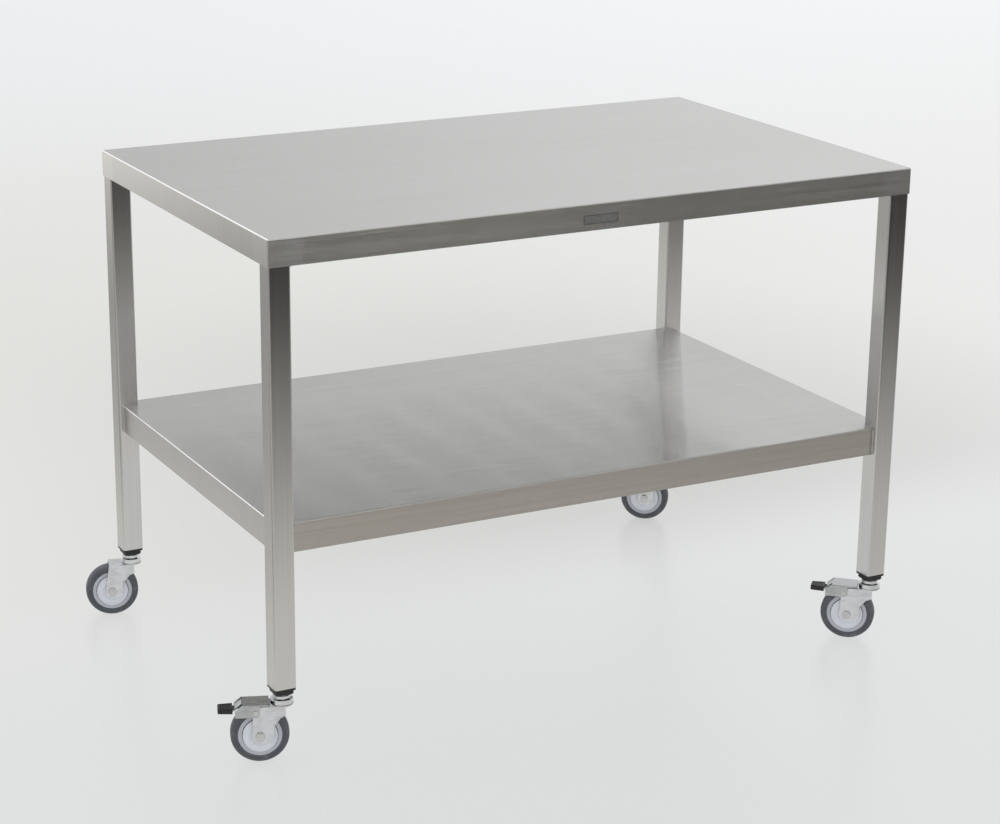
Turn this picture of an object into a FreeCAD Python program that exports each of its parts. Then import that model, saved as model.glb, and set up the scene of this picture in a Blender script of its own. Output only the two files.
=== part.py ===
import FreeCAD, Part
import math
import os
import Sketcher

# Stainless work table: a folded sheet top with skirts, four square tube legs, a folded sheet
# under-shelf notched round the legs, and four swivel casters plugged into the legs.
# The two front casters carry a foot brake.
# Millimetres. +Z is up, +X runs along the table's long side and +Y to the back.
# The origin is on the floor, under the middle of the space that the table and its casters take up.

DIMENSIONS = (
    # the whole table
    ("table_length", 1219.2),
    ("table_width", 762.0),
    ("table_height", 889.0),
    ("centre_x", 41.0),
    ("centre_y", -16.5),
    ("gauge", 1.5),
    ("edge_bend", 2.5),
    ("lip", 12.0),
    # how far a cutting tool runs past the metal
    ("cut_past", 1.0),
    # top and shelf
    ("top_skirt", 46.0),
    ("shelf_top", 415.0),
    ("shelf_skirt", 50.8),
    ("shelf_inset", 10.0),
    ("notch_gap", 0.2),
    ("lip_gap", 1.0),
    ("weld_radius", 2.5),
    ("weld_end", 2.0),
    # legs
    ("leg_size", 38.1),
    ("leg_wall", 1.5),
    ("leg_corner", 4.0),
    ("leg_bottom", 131.0),
    # stiffening channels
    ("channel_half", 30.0),
    ("channel_flange", 15.0),
    ("channel_depth", 25.0),
    ("channel_spread", 190.0),
    ("channel_end", 60.0),
    # maker's plate
    ("plate_length", 66.0),
    ("plate_height", 17.0),
    ("plate_thickness", 0.8),
    ("plate_corner", 2.0),
    ("plate_x", -15.0),
    ("plate_z", 862.0),
    # leg plug
    ("plug_insert", 34.7),
    ("plug_rise", 40.0),
    ("plug_collar", 37.5),
    ("collar_height", 4.0),
    ("plug_foot", 32.0),
    ("foot_height", 9.0),
    ("plug_round", 3.5),
    ("foot_bevel", 2.5),
    # swivel: stem, cap and balls
    ("stem_radius", 6.0),
    ("running_gap", 0.05),
    ("stem_rise", 38.0),
    ("king_radius", 4.5),
    ("rivet_radius", 6.4),
    ("rivet_height", 2.2),
    ("part_gap", 0.3),
    ("stem_collar", 12.0),
    ("collar_thick", 1.0),
    ("cap_radius", 18.8),
    ("cap_step", 14.5),
    ("cap_wall", 1.8),
    ("cap_skirt_gap", 0.6),
    ("cap_low", 8.5),
    ("cap_roof", 2.6),
    ("cap_round", 0.8),
    ("ball_radius", 2.8),
    ("ball_ring", 13.4),
    # fork
    ("crown_top", 102.0),
    ("crown_thick", 2.5),
    ("crown_radius", 19.4),
    ("fork_half", 18.4),
    ("fork_wall", 2.5),
    ("fork_round_x", 12.0),
    ("fork_back_low", 80.0),
    ("fork_edge_low", 66.0),
    ("fork_slope_x", 3.0),
    ("fork_slope_z", 79.5),
    ("fork_foot", 13.0),
    ("fork_foot_round", 11.0),
    ("fork_bend", 3.0),
    ("plain_back", 17.5),
    ("plain_front", 42.0),
    ("brake_back", 14.0),
    ("brake_front", 48.0),
    # wheel
    ("wheel_radius", 49.0),
    ("trail", 37.0),
    ("tyre_half", 12.7),
    ("tread_half", 7.0),
    ("tyre_inner", 36.5),
    ("sidewall_rise", 3.0),
    ("shoulder_drop", 4.5),
    ("shoulder_mid_in", 1.5),
    ("shoulder_mid_drop", 2.2),
    ("shoulder_top_in", 4.0),
    ("shoulder_top_drop", 0.7),
    ("rim_half", 11.5),
    ("rim_inner", 30.0),
    ("web_half", 4.0),
    ("hub_flare", 1.5),
    ("rim_flare", 2.5),
    ("hub_outer", 14.5),
    ("hub_half", 12.9),
    ("bearing_outer", 11.0),
    ("bearing_width", 7.0),
    ("sleeve_radius", 7.0),
    ("guard_bore", 6.6),
    ("guard_outer", 29.0),
    ("guard_face", 15.2),
    ("guard_wall", 1.8),
    ("guard_gap", 0.1),
    ("guard_rim_out", 1.2),
    ("guard_crown_in", 2.0),
    # axle
    ("axle_radius", 5.0),
    ("spacer_radius", 6.2),
    ("hex_radius", 8.1),
    ("head_thick", 5.5),
    ("nut_thick", 6.5),
    ("axle_end", 2.0),
    # brake
    ("pivot_x", 44.0),
    ("pivot_z", 92.0),
    ("pin_radius", 2.5),
    ("pin_head_radius", 4.0),
    ("pin_head_thick", 1.2),
    ("lever_low", 103.5),
    ("lever_thick", 2.0),
    ("lever_round", 1.7),
    ("lever_start", 21.0),
    ("lever_bend", 66.0),
    ("lever_side_start", 37.0),
    ("lever_side_end", 78.0),
    ("lever_side_low", 84.0),
    ("lever_side_wall", 1.8),
    ("lever_corner_x", 5.0),
    ("lever_corner_z", 4.0),
    ("lever_overlap", 1.0),
    ("tongue_half", 10.0),
    ("tongue_start", 80.0),
    ("tongue_end", 98.0),
    ("tongue_low", 92.0),
    ("pedal_start", 81.5),
    ("pedal_end", 106.0),
    ("pedal_low", 88.5),
    ("pedal_top", 98.0),
    ("pedal_half", 14.0),
    ("pedal_tip_half", 11.5),
    ("pedal_round", 2.0),
    ("tongue_gap", 0.1),
    ("groove_depth", 1.2),
    ("groove_pitch", 4.4),
    ("groove_width", 2.0),
    ("groove_start", 5.0),
    ("groove_half", 10.0),
    ("shoe_start", 52.0),
    ("shoe_end", 65.0),
    ("shoe_low", 86.0),
    ("shoe_half", 11.5),
    ("shoe_radius", 52.4),
    # the way each caster trails, in degrees from +X
    ("yaw_front_left", 160.0),
    ("yaw_front_right", 138.0),
    ("yaw_back_left", 164.0),
    ("yaw_back_right", 144.0),
)

# caster name, side along X, side along Y, braked
CASTERS = (
    ("front_left", -1, -1, True),
    ("front_right", 1, -1, True),
    ("back_left", -1, 1, False),
    ("back_right", 1, 1, False),
)

BALL_COUNT = 12
LEAST_CUT = 1e-3
PEDAL_GROOVES = 4

# expressions that several pieces share
HALF_LENGTH = "dims.table_length / 2"
HALF_WIDTH = "dims.table_width / 2"
LEG_X = "(dims.table_length / 2 - dims.gauge - dims.leg_size / 2)"
LEG_Y = "(dims.table_width / 2 - dims.gauge - dims.leg_size / 2)"
LEG_INNER_X = "(dims.table_length / 2 - dims.gauge - dims.leg_size)"
LEG_INNER_Y = "(dims.table_width / 2 - dims.gauge - dims.leg_size)"
SHELF_X = "(dims.table_length / 2 - dims.gauge - dims.shelf_inset)"
SHELF_Y = "(dims.table_width / 2 - dims.gauge - dims.shelf_inset)"
CROWN_LOW = "(dims.crown_top - dims.crown_thick)"
CHEEK_INNER = "(dims.fork_half - dims.fork_wall)"
CAP_TOP = "(dims.leg_bottom - dims.collar_height - dims.foot_height - dims.collar_thick)"
LEVER_TOP = "(dims.lever_low + dims.lever_thick)"
LEVER_INNER = "(dims.fork_half + dims.part_gap)"
LEVER_OUTER = "(dims.fork_half + dims.part_gap + dims.lever_side_wall)"

doc = FreeCAD.newDocument("work_table")
sheet = doc.addObject("Spreadsheet::Sheet", "dims")
nodes = []


def fill_sheet():
    """Write each driving dimension to its own row, with its name as the cell's alias."""
    for row, (name, value) in enumerate(DIMENSIONS, 1):
        sheet.set(f"A{row}", name)
        sheet.set(f"B{row}", str(value))
        sheet.setAlias(f"B{row}", name)
    doc.recompute()


def bind(target, **expressions):
    """Bind properties to expressions; a double underscore in a name stands for a dot."""
    for name, expression in expressions.items():
        target.setExpression(name.replace("__", "."), expression)


def keep(piece, label):
    """Name a finished sub-part and list it for export."""
    piece.Label = label
    nodes.append(piece)


def place(piece, x="0", y="0", z="0"):
    """Place a piece from the middle of the table."""
    bind(
        piece,
        Placement__Base__x=f"dims.centre_x + {x}",
        Placement__Base__y=f"dims.centre_y + {y}",
        Placement__Base__z=z,
    )


def place_on_leg(piece, corner, z="0", reach="0", turned=True):
    """Place a caster's piece on its leg's axis, and turn it the way that the caster trails."""
    name, side_x, side_y, _ = corner
    yaw = f"dims.yaw_{name}"
    place(
        piece,
        f"{side_x} * {LEG_X} + {reach} * cos({yaw})",
        f"{side_y} * {LEG_Y} + {reach} * sin({yaw})",
        z,
    )
    if turned:
        bind(piece, Placement__Rotation__Angle=yaw)


# ---------------------------------------------------------------- sketches and features


def sketch_on(body, role, lift="0"):
    """A sketch on one of the body's own origin planes, lifted along the plane's normal."""
    sketch = body.newObject("Sketcher::SketchObject", "sketch")
    plane = next(item for item in body.Origin.OriginFeatures if item.Role == role)
    sketch.AttachmentSupport = [(plane, "")]
    sketch.MapMode = "FlatFace"
    sketch.setExpression("AttachmentOffset.Base.z", lift)
    return sketch


def pin_point(sketch, geometry, position, point, x, y):
    """Hold a sketch point at two expressions, measured from the sketch's origin."""
    for kind, start, expression in (("DistanceX", point.x, x), ("DistanceY", point.y, y)):
        index = sketch.addConstraint(Sketcher.Constraint(kind, -1, 1, geometry, position, start))
        sketch.setExpression(f"Constraints[{index}]", expression)


def outline(sketch, *corners):
    """A closed outline of straight lines through the given pairs of expressions."""
    count = len(corners)
    first = sketch.GeometryCount
    turn = 2 * math.pi / count
    ring = [FreeCAD.Vector(math.cos(i * turn), math.sin(i * turn), 0) for i in range(count)]
    for i in range(count):
        sketch.addGeometry(Part.LineSegment(ring[i], ring[(i + 1) % count]), False)
    for i in range(count):
        joined = Sketcher.Constraint("Coincident", first + i, 2, first + (i + 1) % count, 1)
        sketch.addConstraint(joined)
    for i, (x, y) in enumerate(corners):
        pin_point(sketch, first + i, 1, ring[i], x, y)


def rectangle(sketch, left, low, right, high):
    outline(sketch, (left, low), (right, low), (right, high), (left, high))


def centred(sketch, half_x, half_y):
    rectangle(sketch, f"-({half_x})", f"-({half_y})", half_x, half_y)


def circle(sketch, x, y, radius):
    centre = FreeCAD.Vector(1, 1, 0)
    index = sketch.addGeometry(Part.Circle(centre, FreeCAD.Vector(0, 0, 1), 1), False)
    pin_point(sketch, index, 3, centre, x, y)
    size = sketch.addConstraint(Sketcher.Constraint("Radius", index, 1))
    sketch.setExpression(f"Constraints[{size}]", radius)


def new_body(name):
    return doc.addObject("PartDesign::Body", name)


def extrude(body, kind, sketch, length, both=False, back=False):
    """A Pad or Pocket of the sketch; both spreads it evenly to the two sides of the sketch."""
    feature = body.newObject(f"PartDesign::{kind}", kind.lower())
    feature.Profile = sketch
    feature.setExpression("Length", length)
    feature.SideType = "Symmetric" if both else "One side"
    feature.Reversed = back
    body.Tip = feature


def pad(body, sketch, length, both=False, back=False):
    extrude(body, "Pad", sketch, length, both, back)


def pocket(body, sketch, length, both=False, back=False):
    """A Pocket that is checked to have taken something away."""
    doc.recompute()
    before = body.Shape.Volume
    extrude(body, "Pocket", sketch, length, both, back)
    doc.recompute()
    if body.Shape.Volume > before - LEAST_CUT:
        raise RuntimeError(f"a pocket in {body.Name} cuts nothing")


def revolve(body, sketch, axis):
    feature = body.newObject("PartDesign::Revolution", "revolution")
    feature.Profile = sketch
    feature.ReferenceAxis = (sketch, [axis])
    feature.Angle = 360
    body.Tip = feature


def dress(body, kind, size, wanted):
    """Fillet or chamfer the edges of the body for which wanted(edge) is true."""
    doc.recompute()
    base = body.Tip
    names = [f"Edge{i}" for i, edge in enumerate(base.Shape.Edges, 1) if wanted(edge)]
    if not names:
        raise RuntimeError(f"no edge to dress in {body.Name}")
    feature = body.newObject(f"PartDesign::{kind}", kind.lower())
    feature.Base = (base, names)
    feature.setExpression("Radius" if kind == "Fillet" else "Size", size)
    body.Tip = feature


def runs_along(edge, axis):
    """True for a straight edge along the named axis."""
    if len(edge.Vertexes) != 2 or not isinstance(edge.Curve, Part.Line):
        return False
    start, end = (vertex.Point for vertex in edge.Vertexes)
    along = (end - start).normalize()
    return abs(getattr(along, axis)) > 0.999


def near(value, target):
    return abs(value - target) < 0.01


def dimension(name):
    """The value of a driving dimension, for choosing edges by their place."""
    return sheet.get(name)


# ---------------------------------------------------------------- the table


def strips(sketch, end_x, end_y, face_x, face_y, width, gap="0"):
    """Four strips along the sides of a folded sheet, each ending at the corner's notch."""
    run_x = f"({end_x} - ({gap}))"
    run_y = f"({end_y} - ({gap}))"
    for side in ("-", ""):
        outer, inner = f"{side}({face_y})", f"{side}({face_y} - {width})"
        rectangle(sketch, f"-{run_x}", outer, run_x, inner)
        outer, inner = f"{side}({face_x})", f"{side}({face_x} - {width})"
        rectangle(sketch, outer, f"-{run_y}", inner, run_y)


def make_top_panel():
    """The top: a shallow pan folded from sheet, open below, with a return lip between the legs."""
    body = new_body("top_panel")
    block = sketch_on(body, "XY_Plane")
    centred(block, HALF_LENGTH, HALF_WIDTH)
    pad(body, block, "dims.top_skirt", back=True)

    def on_fold(edge):
        return runs_along(edge, "z") or near(edge.BoundBox.ZMin, 0)

    dress(body, "Fillet", "dims.edge_bend", on_fold)
    hollow = sketch_on(body, "XY_Plane", "-dims.gauge")
    centred(hollow, f"{HALF_LENGTH} - dims.gauge", f"{HALF_WIDTH} - dims.gauge")
    pocket(body, hollow, "dims.top_skirt")
    lips = sketch_on(body, "XY_Plane", "-dims.top_skirt")
    skin = "dims.gauge / 2"
    face_x, face_y = f"{HALF_LENGTH} - {skin}", f"{HALF_WIDTH} - {skin}"
    strips(lips, LEG_INNER_X, LEG_INNER_Y, face_x, face_y, "dims.lip", "dims.lip_gap")
    pad(body, lips, "dims.gauge")
    place(body, z="dims.table_height")
    keep(body, "top_panel")


def make_shelf_panel():
    """The under-shelf: a sheet with its corners notched round the legs and its sides folded down."""
    body = new_body("shelf_panel")
    notch_x = f"({LEG_INNER_X} - dims.notch_gap)"
    notch_y = f"({LEG_INNER_Y} - dims.notch_gap)"
    deck = sketch_on(body, "XY_Plane")
    outline(
        deck,
        (f"-{notch_x}", f"-{SHELF_Y}"),
        (notch_x, f"-{SHELF_Y}"),
        (notch_x, f"-{notch_y}"),
        (SHELF_X, f"-{notch_y}"),
        (SHELF_X, notch_y),
        (notch_x, notch_y),
        (notch_x, SHELF_Y),
        (f"-{notch_x}", SHELF_Y),
        (f"-{notch_x}", notch_y),
        (f"-{SHELF_X}", notch_y),
        (f"-{SHELF_X}", f"-{notch_y}"),
        (f"-{notch_x}", f"-{notch_y}"),
    )
    pad(body, deck, "dims.gauge", back=True)
    sides = sketch_on(body, "XY_Plane")
    strips(sides, notch_x, notch_y, SHELF_X, SHELF_Y, "dims.gauge")
    pad(body, sides, "dims.shelf_skirt", back=True)
    lips = sketch_on(body, "XY_Plane", "-dims.shelf_skirt")
    strips(lips, notch_x, notch_y, SHELF_X, SHELF_Y, "dims.lip", "dims.lip_gap + dims.lip")
    pad(body, lips, "dims.gauge")
    far_x = dimension("table_length") / 2 - dimension("gauge") - dimension("shelf_inset")
    far_y = dimension("table_width") / 2 - dimension("gauge") - dimension("shelf_inset")

    def on_fold(edge):
        box = edge.BoundBox
        outermost = near(abs(box.Center.x), far_x) or near(abs(box.Center.y), far_y)
        return near(box.ZMin, 0) and near(box.ZMax, 0) and outermost

    dress(body, "Fillet", "dims.edge_bend", on_fold)
    place(body, z="dims.shelf_top")
    keep(body, "shelf_panel")


def make_leg(corner):
    """A square tube from the plug to the underside of the top."""
    name, side_x, side_y, _ = corner
    body = new_body(f"leg_{name}")
    length = "dims.table_height - dims.gauge - dims.leg_bottom"
    outer = sketch_on(body, "XY_Plane")
    centred(outer, "dims.leg_size / 2", "dims.leg_size / 2")
    pad(body, outer, length)
    dress(body, "Fillet", "dims.leg_corner", lambda edge: runs_along(edge, "z"))
    bore = sketch_on(body, "XY_Plane")
    half = "dims.leg_size / 2 - dims.leg_wall"
    centred(bore, half, half)
    pocket(body, bore, length, back=True)
    place(body, f"{side_x} * {LEG_X}", f"{side_y} * {LEG_Y}", "dims.leg_bottom")
    keep(body, f"leg_{name}")


def make_channel(label, y, z):
    """A hat-section channel along the table, with its two flanges against the sheet above."""
    body = new_body(label)
    profile = sketch_on(body, "YZ_Plane")
    half, wall = "dims.channel_half", "dims.gauge"
    edge = f"({half} + dims.channel_flange)"
    outline(
        profile,
        (f"-{edge}", f"-{wall}"),
        (f"-{half}", f"-{wall}"),
        (f"-{half}", "-dims.channel_depth"),
        (half, "-dims.channel_depth"),
        (half, f"-{wall}"),
        (edge, f"-{wall}"),
        (edge, "0"),
        (f"{half} - {wall}", "0"),
        (f"{half} - {wall}", f"{wall} - dims.channel_depth"),
        (f"{wall} - {half}", f"{wall} - dims.channel_depth"),
        (f"{wall} - {half}", "0"),
        (f"-{edge}", "0"),
    )
    pad(body, profile, "dims.table_length - 2 * dims.channel_end", both=True)
    place(body, y=y, z=z)
    keep(body, label)


def make_nameplate():
    """A blank plate on the front skirt."""
    body = new_body("nameplate")
    face = sketch_on(body, "XZ_Plane")
    centred(face, "dims.plate_length / 2", "dims.plate_height / 2")
    pad(body, face, "dims.plate_thickness")
    dress(body, "Fillet", "dims.plate_corner", lambda edge: runs_along(edge, "y"))
    place(body, "dims.plate_x", f"-{HALF_WIDTH}", "dims.plate_z")
    keep(body, "nameplate")


def make_shelf_welds():
    """A quarter-round bead at each end of the four shelf sides, where it meets a leg."""
    beads = []
    spots = []
    for side_x in (-1, 1):
        for side_y in (-1, 1):
            x, y = f"{side_x} * {LEG_INNER_X}", f"{side_y} * {SHELF_Y}"
            spots.append((x, y, -side_x, side_y))
            x, y = f"{side_x} * {SHELF_X}", f"{side_y} * {LEG_INNER_Y}"
            spots.append((x, y, side_x, -side_y))
    quarter_turns = {(1, 1): 0, (-1, 1): 90, (-1, -1): 180, (1, -1): 270}
    for x, y, out_x, out_y in spots:
        bead = doc.addObject("Part::Cylinder", "bead")
        bead.Angle = 90
        bind(
            bead,
            Radius="dims.weld_radius",
            Height="dims.shelf_skirt - 2 * dims.weld_end",
            Placement__Base__x=x,
            Placement__Base__y=y,
        )
        turn = quarter_turns[out_x, out_y]
        bead.Placement.Rotation = FreeCAD.Rotation(FreeCAD.Vector(0, 0, 1), turn)
        beads.append(bead)
    welds = doc.addObject("Part::Compound", "shelf_welds")
    welds.Links = beads
    place(welds, z="dims.shelf_top - dims.shelf_skirt + dims.weld_end")
    keep(welds, "shelf_welds")


# ---------------------------------------------------------------- caster pieces fixed to the legs


def make_leg_plug(corner):
    """The square plug: an insert inside the tube, a collar under its end and a narrower foot."""
    body = new_body(f"leg_plug_{corner[0]}")
    insert = sketch_on(body, "XY_Plane")
    centred(insert, "dims.plug_insert / 2", "dims.plug_insert / 2")
    pad(body, insert, "dims.plug_rise")
    collar = sketch_on(body, "XY_Plane")
    centred(collar, "dims.plug_collar / 2", "dims.plug_collar / 2")
    pad(body, collar, "dims.collar_height", back=True)
    foot = sketch_on(body, "XY_Plane")
    centred(foot, "dims.plug_foot / 2", "dims.plug_foot / 2")
    pad(body, foot, "dims.collar_height + dims.foot_height", back=True)
    dress(body, "Fillet", "dims.plug_round", lambda edge: runs_along(edge, "z"))
    low = -dimension("collar_height") - dimension("foot_height")
    dress(body, "Chamfer", "dims.foot_bevel", lambda edge: near(edge.BoundBox.ZMax, low))
    bore = sketch_on(body, "XY_Plane", "dims.plug_rise")
    circle(bore, "0", "0", "dims.stem_radius + dims.running_gap")
    pocket(body, bore, "dims.plug_rise + dims.collar_height + dims.foot_height")
    place_on_leg(body, corner, "dims.leg_bottom", turned=False)
    keep(body, f"leg_plug_{corner[0]}")


def make_caster_stem(corner):
    """The stem: it is held in the plug, carries the cap and is riveted over under the fork."""
    body = new_body(f"caster_stem_{corner[0]}")
    profile = sketch_on(body, "XZ_Plane")
    rivet_top = f"({CROWN_LOW} - dims.part_gap)"
    king, stem, collar = "dims.king_radius", "dims.stem_radius", "dims.stem_collar"
    outline(
        profile,
        ("0", f"{rivet_top} - dims.rivet_height"),
        ("dims.rivet_radius", f"{rivet_top} - dims.rivet_height"),
        ("dims.rivet_radius", rivet_top),
        (king, rivet_top),
        (king, "dims.crown_top + dims.part_gap"),
        (stem, "dims.crown_top + dims.part_gap"),
        (stem, CAP_TOP),
        (collar, CAP_TOP),
        (collar, f"{CAP_TOP} + dims.collar_thick"),
        (stem, f"{CAP_TOP} + dims.collar_thick"),
        (stem, "dims.leg_bottom + dims.stem_rise"),
        ("0", "dims.leg_bottom + dims.stem_rise"),
    )
    revolve(body, profile, "V_Axis")
    place_on_leg(body, corner, turned=False)
    keep(body, f"caster_stem_{corner[0]}")


def make_swivel_cap(corner):
    """The pressed two-step cap over the ball ring."""
    body = new_body(f"swivel_cap_{corner[0]}")
    profile = sketch_on(body, "XZ_Plane")
    bore = "dims.stem_radius + dims.running_gap"
    inside = "dims.cap_radius - dims.cap_wall"
    low = "dims.crown_top + dims.cap_skirt_gap"
    roof = "(dims.crown_top + dims.cap_low)"
    outline(
        profile,
        (bore, f"{roof} - dims.cap_roof"),
        (inside, f"{roof} - dims.cap_roof"),
        (inside, low),
        ("dims.cap_radius", low),
        ("dims.cap_radius", roof),
        ("dims.cap_step", f"{roof} + dims.cap_wall"),
        ("dims.cap_step", CAP_TOP),
        (bore, CAP_TOP),
    )
    revolve(body, profile, "V_Axis")
    outer = (dimension("cap_radius"), dimension("cap_step"))
    above = dimension("crown_top") + dimension("cut_past")

    def on_rim(edge):
        if not isinstance(edge.Curve, Part.Circle) or edge.BoundBox.ZMin < above:
            return False
        return any(near(edge.Curve.Radius, radius) for radius in outer)

    dress(body, "Fillet", "dims.cap_round", on_rim)
    place_on_leg(body, corner, turned=False)
    keep(body, f"swivel_cap_{corner[0]}")


# ---------------------------------------------------------------- pieces that swivel with the fork


def make_swivel_balls(corner):
    """The ring of balls between the fork's crown and the cap."""
    balls = []
    for i in range(BALL_COUNT):
        ball = doc.addObject("Part::Sphere", "ball")
        angle = f"{i} * 360 / {BALL_COUNT}"
        bind(
            ball,
            Radius="dims.ball_radius",
            Placement__Base__x=f"dims.ball_ring * cos({angle})",
            Placement__Base__y=f"dims.ball_ring * sin({angle})",
        )
        balls.append(ball)
    ring = doc.addObject("Part::Compound", f"swivel_balls_{corner[0]}")
    ring.Links = balls
    place_on_leg(ring, corner, "dims.crown_top + dims.ball_radius + dims.running_gap")
    keep(ring, f"swivel_balls_{corner[0]}")


def make_fork(corner):
    """The pressed fork: two cheeks joined by a round back and a crown, trimmed from the side."""
    name, _, _, braked = corner
    kind = "brake" if braked else "plain"
    body = new_body(f"caster_fork_{name}")
    low = "dims.wheel_radius - dims.fork_foot"
    front = "dims.trail + dims.fork_foot"
    blank = sketch_on(body, "XY_Plane", low)
    rectangle(blank, "dims.fork_round_x", "-dims.fork_half", front, "dims.fork_half")
    pad(body, blank, f"dims.crown_top - ({low})")
    back = sketch_on(body, "XY_Plane", low)
    circle(back, "dims.fork_round_x", "0", "dims.fork_half")
    pad(body, back, f"dims.crown_top - ({low})")
    top = dimension("crown_top")

    def on_crown_rim(edge):
        return near(edge.BoundBox.ZMin, top) and not runs_along(edge, "y")

    dress(body, "Fillet", "dims.fork_bend", on_crown_rim)
    space = sketch_on(body, "XY_Plane", CROWN_LOW)
    rectangle(space, "dims.fork_round_x", f"-{CHEEK_INNER}", f"{front} + dims.cut_past", CHEEK_INNER)
    pocket(body, space, "dims.crown_top")
    round_space = sketch_on(body, "XY_Plane", CROWN_LOW)
    circle(round_space, "dims.fork_round_x", "0", CHEEK_INNER)
    pocket(body, round_space, "dims.crown_top")
    behind = sketch_on(body, "XZ_Plane")
    edge_x = f"dims.{kind}_back"
    outline(
        behind,
        ("-2 * dims.fork_half", "0"),
        (edge_x, "0"),
        (edge_x, "dims.fork_edge_low"),
        ("dims.fork_slope_x", "dims.fork_slope_z"),
        ("dims.fork_round_x - dims.fork_half", "dims.fork_back_low"),
        ("-2 * dims.fork_half", "dims.fork_back_low"),
    )
    pocket(body, behind, "3 * dims.fork_half", both=True)
    ahead = sketch_on(body, "XZ_Plane")
    outline(
        ahead,
        (f"{front} + dims.cut_past", "dims.wheel_radius"),
        (front, "dims.wheel_radius"),
        (f"dims.{kind}_front", "dims.crown_top"),
        (f"dims.{kind}_front", "dims.crown_top + dims.cut_past"),
        (f"{front} + dims.cut_past", "dims.crown_top + dims.cut_past"),
    )
    pocket(body, ahead, "3 * dims.fork_half", both=True)
    foot_z = dimension("wheel_radius") - dimension("fork_foot")
    dress(
        body,
        "Fillet",
        "dims.fork_foot_round",
        lambda edge: runs_along(edge, "y") and near(edge.BoundBox.ZMin, foot_z),
    )
    crown = sketch_on(body, "XY_Plane", CROWN_LOW)
    circle(crown, "0", "0", "dims.crown_radius")
    pad(body, crown, "dims.crown_thick")
    rivet_room = sketch_on(body, "XY_Plane", CROWN_LOW)
    circle(rivet_room, "0", "0", "dims.rivet_radius + dims.part_gap")
    pocket(body, rivet_room, "dims.rivet_height + 2 * dims.part_gap")
    king_hole = sketch_on(body, "XY_Plane", "dims.crown_top")
    circle(king_hole, "0", "0", "dims.king_radius + dims.running_gap")
    pocket(body, king_hole, "2 * dims.crown_thick")
    axle_hole = sketch_on(body, "XZ_Plane")
    circle(axle_hole, "dims.trail", "dims.wheel_radius", "dims.axle_radius + dims.running_gap")
    pocket(body, axle_hole, "3 * dims.fork_half", both=True)
    if braked:
        pin_hole = sketch_on(body, "XZ_Plane")
        circle(pin_hole, "dims.pivot_x", "dims.pivot_z", "dims.pin_radius + dims.running_gap")
        pocket(body, pin_hole, "3 * dims.fork_half", both=True)
    place_on_leg(body, corner)
    keep(body, f"caster_fork_{name}")


def lay_along_y(piece, start):
    """Turn a Part primitive to run along +Y from the given place."""
    piece.Placement.Rotation = FreeCAD.Rotation(FreeCAD.Vector(1, 0, 0), -90)
    bind(piece, Placement__Base__y=start)
    return piece


def rod(radius, start, length):
    """A round bar along Y."""
    bar = doc.addObject("Part::Cylinder", "bar")
    bind(bar, Radius=radius, Height=length)
    return lay_along_y(bar, start)


def hexagon(radius, start, length):
    """A hexagonal bar along Y."""
    bar = doc.addObject("Part::Prism", "hexagon")
    bar.Polygon = 6
    bind(bar, Circumradius=radius, Height=length)
    return lay_along_y(bar, start)


def cut(base, tool):
    piece = doc.addObject("Part::Cut", "cut")
    piece.Base = base
    piece.Tool = tool
    return piece


def make_axle_set(corner):
    """The axle bolt, its nut and the two spacers between the cheeks and the bearings."""
    bolt = doc.addObject("Part::MultiFuse", "bolt")
    reach = "(dims.nut_thick + dims.axle_end)"
    shank = rod("dims.axle_radius", f"-dims.fork_half - {reach}", f"2 * dims.fork_half + {reach}")
    bolt.Shapes = [shank, hexagon("dims.hex_radius", "dims.fork_half", "dims.head_thick")]
    bore = "dims.axle_radius + dims.running_gap"
    nut_start = "-dims.fork_half - dims.nut_thick"
    pieces = [bolt]
    nut_blank = hexagon("dims.hex_radius", nut_start, "dims.nut_thick")
    pieces.append(cut(nut_blank, rod(bore, nut_start, "dims.nut_thick")))
    inner = "(dims.hub_half + dims.part_gap)"
    width = f"{CHEEK_INNER} - {inner}"
    for start in (inner, f"-{CHEEK_INNER}"):
        pieces.append(cut(rod("dims.spacer_radius", start, width), rod(bore, start, width)))
    axle = doc.addObject("Part::Compound", f"axle_set_{corner[0]}")
    axle.Links = pieces
    place_on_leg(axle, corner, "dims.wheel_radius", "dims.trail")
    keep(axle, f"axle_set_{corner[0]}")


def make_brake_pins(corner):
    """Two short pivot pins, one through each cheek, with a head outside the lever."""
    pins = []
    seat = f"({LEVER_OUTER} + dims.running_gap)"
    shank = f"{seat} - {CHEEK_INNER}"
    for low, head in ((CHEEK_INNER, seat), (f"-{seat}", f"-{seat} - dims.pin_head_thick")):
        pin = doc.addObject("Part::MultiFuse", "pin")
        cap = rod("dims.pin_head_radius", head, "dims.pin_head_thick")
        pin.Shapes = [rod("dims.pin_radius", low, shank), cap]
        pins.append(pin)
    pair = doc.addObject("Part::Compound", f"brake_pins_{corner[0]}")
    pair.Links = pins
    place_on_leg(pair, corner, "dims.pivot_z", "dims.pivot_x")
    keep(pair, f"brake_pins_{corner[0]}")


# ---------------------------------------------------------------- pieces that turn with the wheel


def wheel_body(label, *corners):
    """A ring turned about the axle from a profile of (along the axle, radius) pairs."""
    body = new_body(label)
    profile = sketch_on(body, "YZ_Plane")
    outline(profile, *corners)
    revolve(body, profile, "H_Axis")
    return body


def both_sides(half_profile):
    """The mirror image of a half profile, followed by the half profile itself."""
    mirrored = [(f"-({along})", radius) for along, radius in half_profile]
    return mirrored + half_profile[::-1]


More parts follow.
